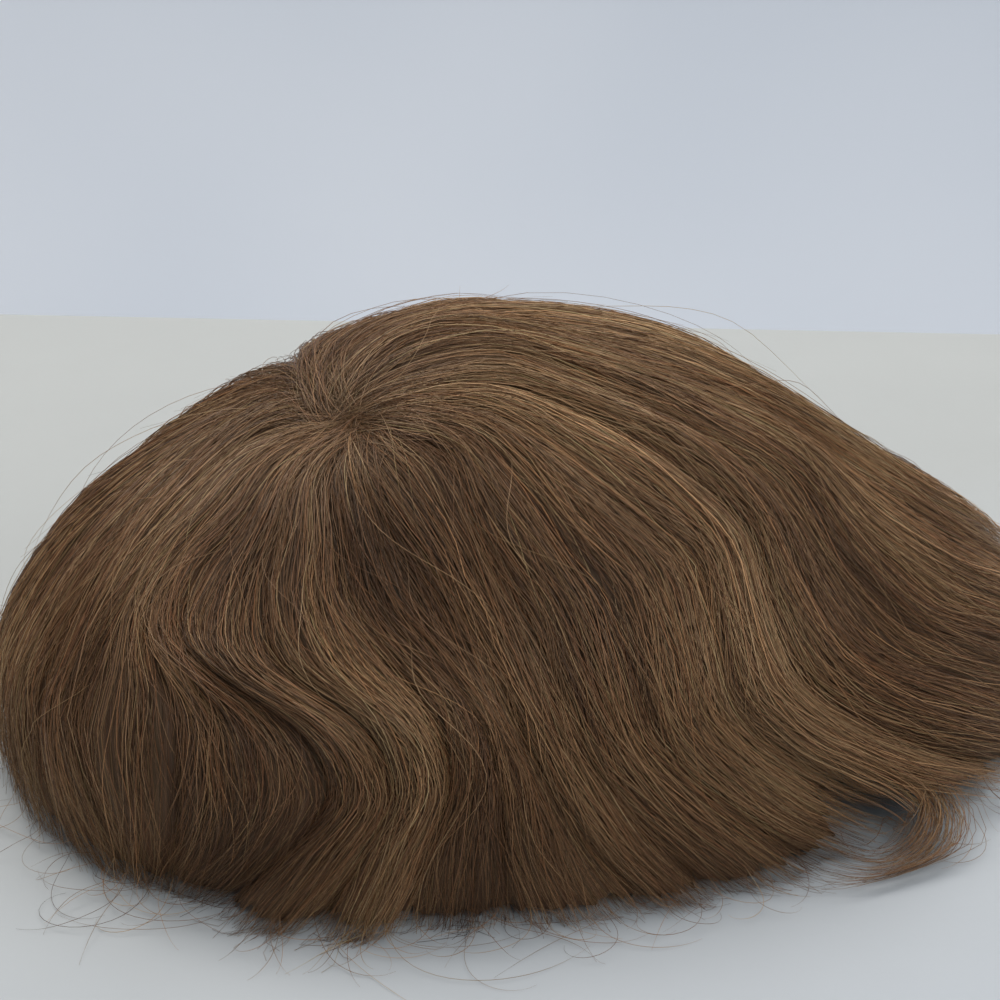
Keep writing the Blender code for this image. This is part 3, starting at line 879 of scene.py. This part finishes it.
def comb_hairs(number, count, stations, shade, crossing, tuft, chance):
    """Paths of a lock's hairs, with the direction out of the lock, radius and tone of each."""
    shares, run, bends = lock_run(number)
    whole = run[-1]
    wanted = chance.normal(HAIR_LENGTH, LENGTH_SPREAD, count)
    if whole > 0.2:
        wanted = wanted + 0.02
    root = 0.02 + 0.62 * chance.random(count) ** 0.62
    early = np.clip(float(lock_width(number, 0.18)) / EARLY_SPACING / count, 0.12, 0.45)
    root = np.where(chance.random(count) < early, 0.05 * chance.random(count), root)
    root_run = np.interp(root, shares, run)
    limit = whole * (1.0 - 0.10 * chance.random(count) ** 2.2)
    limit = np.where(chance.random(count) < 0.4, whole + chance.gamma(1.2, 0.0022, count), limit)
    clumps = max(2, int(round(lock_width(number, 0.6) / CLUMP_WIDTH)))
    clump = chance.integers(0, clumps, count)
    limit = limit * hem_share(number, (clump + 0.5) / clumps)
    tip_run = np.minimum(root_run + wanted, np.minimum(limit, whole + 0.012))
    travel = run + 0.022 * bends
    shares = np.append(shares, 1.1)
    run = np.append(run, whole + 0.02)
    travel = np.append(travel, travel[-1] + 0.045)
    begin = np.interp(root_run, run, travel)
    end = np.interp(tip_run, run, travel)
    steps = np.tile(np.linspace(0, 1, stations), (count, 1))
    steps[:, 1:-1] += (chance.random((count, stations - 2)) - 0.5) * 0.5 / (stations - 1)
    share = np.interp(begin[:, None] + (end - begin)[:, None] * steps, travel, shares)
    length = np.interp(share, shares, run)
    grown = length - root_run[:, None]
    left = tip_run[:, None] - length

    width = np.maximum(lock_width(number, np.minimum(shares, 1.0)), 0.002)
    wide = np.interp(share, shares, width)
    clump_place = (np.arange(clumps) + 0.5 + 0.3 * (chance.random(clumps) - 0.5)) / clumps
    clump_height = chance.normal(0.0, CLUMP_HEIGHT, clumps)
    clump_tone = chance.normal(0.0, CLUMP_TONE, clumps)
    clump_phase = chance.random(clumps) * FULL_TURN
    clump_wave = 0.055 + 0.03 * chance.random(clumps)
    offset = chance.uniform(-1, 1, count) * 0.72 + chance.normal(0, 0.35, count)
    across = clump_place[clump][:, None] + (offset / clumps)[:, None]

    settle = np.clip(length / 0.06, 0, 1)
    clump_turns = length / clump_wave[clump][:, None]
    sway = SWAY * np.sin(FULL_TURN * clump_turns + clump_phase[clump][:, None])
    own_wave = 0.028 + 0.03 * chance.random(count)
    own_phase = chance.random(count) * FULL_TURN
    sway = sway + SWAY * np.sin(FULL_TURN * length / own_wave[:, None] + own_phase[:, None])
    drift = chance.normal(0, DRIFT, count)
    stray = chance.random(count) < crossing
    drift = np.where(stray, chance.normal(0, STRAY_DRIFT, count), drift)
    frayed = chance.normal(0, DRIFT, count)
    sway = sway + drift[:, None] * (steps - 0.4) + frayed[:, None] * steps**4
    across = across + sway * settle / wide
    drawn_in = np.clip((share - 0.84) / 0.16, 0, 1) ** 1.5
    across = across + (0.5 - across) * tuft * drawn_in

    height = clump_height[clump][:, None] - 0.0006 * np.minimum(offset**2, 1.3)[:, None]
    height = height + chance.uniform(-0.0009, 0.0005, count)[:, None] * settle
    height = height + 0.00025 * np.sin(FULL_TURN * length / 0.045 + 1.7 * own_phase[:, None])
    height = height + np.where(stray, chance.uniform(0.0003, 0.0012, count), 0.0)[:, None]
    height = height - 0.0022 * np.exp(-grown / 0.006) * (root[:, None] > 0.06)
    short = tip_run < whole * 0.93
    lifted = np.where(short, chance.uniform(0.0, 0.0010, count), 0.0)
    height = height + lifted[:, None] * np.exp(-left / 0.02)
    starting = (root < 0.06)[:, None]
    about = starting * np.exp(-length / 0.018)
    moved = root_shift(number, about, starting * np.exp(-length / 0.04), chance)
    past = np.maximum(length - whole, 0.0)
    paths, outward = combed_place(number, across, np.minimum(share, 0.999), height, moved)

    flare = chance.gamma(1.6, 0.0009, count) - 0.0008
    loose = np.clip((share - 0.86) / 0.14, 0, 1) ** 2
    flat_out = unit(outward * LEVEL)
    before = combed_place(number, across, np.minimum(share, 0.999) - 0.03, height, moved)[0]
    flowing = (paths - before) * LEVEL
    heading = unit(unit(flowing) + flat_out * chance.uniform(0.2, 1.3, count)[:, None, None])
    beside = np.cross(heading, np.array([0.0, 0.0, 1.0]))
    curl = chance.normal(0, TIP_CURL, count)[:, None]
    curl = np.where(np.abs(curl) < 1.0, 1.0, curl)
    paths = paths + flat_out * (flare[:, None] * loose)[..., None]
    paths = paths + heading * (np.sin(curl * past) / curl)[..., None]
    paths = paths + beside * ((1 - np.cos(curl * past)) / curl)[..., None]

    taper = np.minimum(1.0, 0.35 + grown / 0.02) * np.clip(left / 0.045, 0.22, 1.0) ** 0.6
    radii = HAIR_RADIUS * chance.uniform(0.7, 1.35, count)[:, None] * taper
    floor = radii + 0.0001 + 0.0012 * chance.random(count)[:, None] ** 2
    paths = within_reach(paths)
    paths[..., 2] = np.maximum(paths[..., 2], floor)
    tones = shade + clump_tone[clump] + chance.normal(0, HAIR_TONE, count)
    return paths, outward, radii, tones, tip_run - root_run


def path_lengths(paths):
    """How long each hair is along its path."""
    return np.linalg.norm(np.diff(paths, axis=1), axis=2).sum(axis=1)


def join_hairs(hairs, under):
    """Makes hairs part of the piece below them, which is the one that is kept."""
    bpy.ops.object.select_all(action="DESELECT")
    hairs.select_set(True)
    under.select_set(True)
    bpy.context.view_layer.objects.active = under
    bpy.ops.object.join()


for number, (name, count, stations, shade, crossing, tuft) in enumerate(HAIRS):
    chance = np.random.default_rng(4100 + number)
    mass = pack_mass(number, name + "_hair", shade)
    combed = comb_hairs(number, count, stations, shade, crossing, tuft, chance)
    join_hairs(draw_hairs(name + "_strands", *combed, chance), mass)
    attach(mass, "root")
    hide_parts(name)

# Whorl: the small tuft at the rear of the crown where all the hair starts. It is a dished knot
# of packed hair under hairs that rise out of its middle in a slow spiral and lie down outside.
WHORL_DIP = 0.0035
WHORL_HAIRS = 700
WHORL_STATIONS = 14
WHORL_TURN = 75.0

bpy.ops.mesh.primitive_uv_sphere_add(segments=48, ring_count=16, radius=1.0)
knot = bpy.context.object
knot.name = "crown_whorl_hair"
ball = mesh_points(knot)
far = np.hypot(ball[:, 0], ball[:, 1])
turned = np.degrees(np.arctan2(ball[:, 1], ball[:, 0]))
share = 1.15 * WHORL_RADIUS / HALF_LENGTH * far
u, v = on_disc(turned, share)
dish = -GROOVE - 0.0012 - WHORL_DIP * (1 - far**2)
above = outer_dome(u, v) + facing_out(outer_dome, u, v) * dish[:, None]
below = inner_dome(u, v) + facing_out(inner_dome, u, v) * 0.0004
height = (ball[:, 2:] + 1) / 2
knotted = below + (above - below) * height + DOME_MIDDLE
knot.data.vertices.foreach_set("co", knotted.ravel())
knot.data.update()
bpy.ops.object.shade_smooth()
knot.data.uv_layers[0].name = "OFBake"
flat = knot.data.uv_layers[0].data
for spot in flat:
    spot.uv = (spot.uv[0], 0.01 + 0.3 * spot.uv[1])
lay = np.stack([2 * turned, 9 * far, 0 * far], -1)
# Painted shade: the knot's tone is a dark 0.15, for the shade under the hairs rising from it.
store_hair(knot.data, np.full(len(far), 0.15), 0.3 * far, lay)
knot.data.materials.append(hair_mass_painted_shade)

chance = np.random.default_rng(77)
parts = []
edges = np.array([row[3] for row in FLOW] + [FLOW[0][3] + 360])
widths = np.diff(edges)
shown = np.rint(WHORL_HAIRS * widths / widths.sum()).astype(int)
for number, count in enumerate(shown):
    steps = np.tile(np.linspace(0, 1, WHORL_STATIONS), (count, 1))
    root = 0.003 + 0.035 * chance.random(count) ** 1.5
    tip = root + chance.uniform(0.12, 0.34, count)
    share = root[:, None] + (tip - root)[:, None] * steps**1.2
    across = chance.random(count)[:, None] + chance.normal(0, 0.25, count)[:, None] * steps
    swirl = WHORL_TURN * np.exp(-share / 0.03)
    swirl = swirl + 24 * chance.normal(0, 1, count)[:, None] * np.exp(-share / 0.07)
    u, v = on_disc(lock_direction(number, across, share) + swirl, share)
    moved = root_shift(number, np.exp(-share / 0.06), np.exp(-share / 0.15), chance)
    u, v = u + moved[0], v + moved[1]
    rise = smooth_steps(FLOW_SHARES, RISE[number], share) / 100.0 * HAIR_DEPTH
    arch = np.sin(np.pi * np.minimum(1.0, share / tip[:, None])) ** 1.3
    lift = rise * 0.9 - 0.6 * GROOVE + 0.0003
    lift = lift + arch * chance.gamma(2.0, 0.0005, count)[:, None]
    lift = lift - (WHORL_DIP + 0.001) * np.exp(-share / 0.016)
    outward = facing_out(outer_dome, u, v)
    paths = outer_dome(u, v) + outward * lift[..., None]
    taper = np.minimum(1.0, 0.6 + 2 * steps) * np.clip((1 - steps) / 0.4, 0.25, 1.0) ** 0.6
    radii = 0.8 * HAIR_RADIUS * chance.uniform(0.7, 1.3, count)[:, None] * taper
    tones = chance.normal(0.42, 0.2, count)
    parts.append((paths, outward, radii, tones, path_lengths(paths)))
gathered = [np.concatenate(column) for column in zip(*parts)]
join_hairs(draw_hairs("crown_whorl_strands", *gathered, chance), knot)
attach(knot, "root")
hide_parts("crown_whorl")


# Loose hairs: single hairs that stand off the combed surface in low arches, and those that
# slide out from under the hem and lie curled on the table.
FINE_RADII = (0.00005, 0.00008)
ARCHED_HAIRS = 170
TABLE_HAIRS = 190
LOOSE_STATIONS = 20

chance = np.random.default_rng(507)
box_low = np.array(cad_low) - REACH_PAST
box_high = np.array(cad_high) + REACH_PAST
steps = np.linspace(0, 1, LOOSE_STATIONS)
found = []
while len(found) < ARCHED_HAIRS:
    number = int(chance.integers(0, len(FLOW)))
    shares, run = lock_run(number)[:2]
    begin = chance.uniform(0.0, 0.6) * run[-1]
    length = chance.uniform(0.05, 0.16)
    share = np.interp(np.minimum(begin + length * steps, run[-1]), run, shares)
    slide = chance.normal(0, 0.016) * (steps - 0.5) + 0.004 * np.sin(
        FULL_TURN * steps * chance.uniform(0.6, 1.8) + chance.uniform(0, 6.3)
    )
    across = chance.random() + slide / np.maximum(lock_width(number, share), 0.006)
    arch = chance.gamma(1.6, 0.0018) * np.sin(np.pi * steps ** chance.uniform(0.8, 1.8)) ** 1.5
    path, outward = combed_place(number, across, share, 0.0004 + arch)
    placed = path + DOME_MIDDLE
    ends_apart = begin + length < run[-1] + 0.004
    if ends_apart and (placed > box_low).all() and (placed < box_high).all():
        found.append((path, outward))
while len(found) < ARCHED_HAIRS + TABLE_HAIRS:
    number = int(chance.integers(0, len(FLOW)))
    across = np.array([chance.random()])
    start, outward = combed_place(number, across, np.array([0.955]), np.array([-0.001]))
    out = unit(outward[0] * LEVEL)
    heading = np.arctan2(out[1], out[0]) + chance.normal(0, 0.8)
    bend = heading + chance.normal(0, 2.4) * steps + chance.normal(0, 1.6) * steps**2
    length = 0.012 + chance.gamma(2.0, 0.009)
    stride = np.stack([np.cos(bend), np.sin(bend)], -1) * length / (LOOSE_STATIONS - 1)
    path = np.zeros((LOOSE_STATIONS, 3))
    path[:, :2] = start[0, :2] + np.cumsum(stride, axis=0)
    hump = chance.gamma(1.2, 0.0012) * np.sin(np.pi * steps) ** 2
    path[:, 2] = start[0, 2] * np.exp(-steps * length / 0.006) + hump + 0.0003
    placed = path + DOME_MIDDLE
    if (placed[:, :2] > box_low[:2]).all() and (placed[:, :2] < box_high[:2]).all():
        found.append((path, np.tile([0.0, 0.0, 1.0], (LOOSE_STATIONS, 1)) + 0.01 * out))
paths = np.stack([path for path, outward in found])
outward = np.stack([unit(outward) for path, outward in found])
count = len(found)
lengths = path_lengths(paths)
radii = chance.uniform(*FINE_RADII, count)[:, None] * np.clip((1 - steps) / 0.3, 0.4, 1.0)
paths[..., 2] = np.maximum(paths[..., 2], radii + 0.0001)
tones = np.clip(chance.normal(0.45, 0.2, count), 0, 1)
loose = draw_hairs("loose_hairs", paths, outward, radii, tones, lengths, chance)
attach(loose, "root")

# Hooked curl: the free end of the temple curl lock, at the lower right. Its hairs leave the lock
# together, turn back over the table in one open loop and spread into thin ends.
HOOK_MIDDLE = np.array(
    (
        (0.0239, -0.1018, 0.0560),
        (0.0300, -0.1085, 0.0460),
        (0.0385, -0.1135, 0.0360),
        (0.0515, -0.1160, 0.0265),
        (0.0645, -0.1180, 0.0160),
        (0.0713, -0.1240, 0.0075),
        (0.0640, -0.1325, 0.0030),
        (0.0510, -0.1365, 0.0020),
        (0.0415, -0.1315, 0.0020),
        (0.0360, -0.1220, 0.0020),
    )
)
HOOK_LOOP = np.array([0.0560, -0.1250])
HOOK_HAIRS = 150
HOOK_STATIONS = 20
HOOK_SIDEWAYS = np.array([0.15, -0.85, 0.50])
HOOK_UPWARDS = np.array([0.0, 0.05, 1.0])

chance = np.random.default_rng(640)
steps = np.tile(np.linspace(0, 1, HOOK_STATIONS), (HOOK_HAIRS, 1))
begin = chance.uniform(0.0, 2.5, (HOOK_HAIRS, 1))
place = begin + (chance.uniform(6.0, 9.0, (HOOK_HAIRS, 1)) - begin) * steps
rows = np.arange(len(HOOK_MIDDLE))
paths = np.stack([smooth_steps(rows, column, place) for column in HOOK_MIDDLE.T], -1)
flatter = np.clip((place - 2) / 4, 0, 1)[..., None]
outward = unit((1 - flatter) * HOOK_SIDEWAYS + flatter * HOOK_UPWARDS)
beside = unit(np.cross(unit(np.gradient(paths, axis=1)), outward))
aside = chance.normal(0, 0.0040, (HOOK_HAIRS, 1))
aside = aside + chance.normal(0, 0.0022, (HOOK_HAIRS, 1)) * steps
stacked = chance.gamma(1.4, 0.0009, (HOOK_HAIRS, 1)) * np.minimum(1, place / 1.5)
paths = paths + beside * aside[..., None] + outward * (stacked + 0.0006)[..., None]
opened = 1 + chance.normal(0, 0.26, (HOOK_HAIRS, 1)) * np.clip((place - 4) / 3, 0, 1)
paths[..., :2] = HOOK_LOOP + (paths[..., :2] - HOOK_LOOP) * opened[..., None]
paths = within_reach(paths)
lengths = path_lengths(paths)
taper = np.minimum(1.0, 0.4 + 4 * steps) * np.clip((1 - steps) / 0.35, 0.25, 1.0) ** 0.6
radii = 0.9 * HAIR_RADIUS * chance.uniform(0.7, 1.3, (HOOK_HAIRS, 1)) * taper
paths[..., 2] = np.maximum(paths[..., 2], radii + 0.0001)
tones = chance.normal(0.44, 0.2, HOOK_HAIRS)
hook = draw_hairs("hooked_curl_hair", paths, outward, radii, tones, lengths, chance)
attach(hook, "root")

# Fuzz: short fine hairs all over whose free ends lift a few millimetres off the combed surface.
# They soften the outline, and are drawn like the loose hairs but with fewer bends.
FUZZ_HAIRS = 520
FUZZ_STATIONS = 8

chance = np.random.default_rng(902)
steps = np.linspace(0, 1, FUZZ_STATIONS)
parts = []
for number in range(len(FLOW)):
    width = float(lock_width(number, 0.6))
    shares, run = lock_run(number)[:2]
    count = int(np.rint(FUZZ_HAIRS * width * run[-1] / 0.176))
    begin = chance.uniform(0.08, 0.9, count)[:, None] * run[-1]
    length = chance.uniform(0.018, 0.045, count)[:, None]
    share = np.interp(np.minimum(begin + length * steps, run[-1] * 0.995), run, shares)
    slide = chance.normal(0, 0.007, count)[:, None] * steps**1.4
    across = chance.random(count)[:, None] + slide / np.maximum(lock_width(number, share), 0.006)
    lifted = chance.gamma(1.5, 0.0013, count)[:, None] * steps**1.7
    path, outward = combed_place(number, across, share, 0.0002 + lifted)
    radius = chance.uniform(*FINE_RADII, count)[:, None] * np.clip((1 - steps) / 0.5, 0.4, 1)
    path[..., 2] = np.maximum(path[..., 2], 0.0003)
    tones = np.clip(chance.normal(0.5, 0.2, count), 0, 1)
    parts.append((path, outward, radius, tones, path_lengths(path)))
gathered = [np.concatenate(column) for column in zip(*parts)]
fuzz = draw_hairs("fuzz_hairs", *gathered, chance)
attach(fuzz, "root")
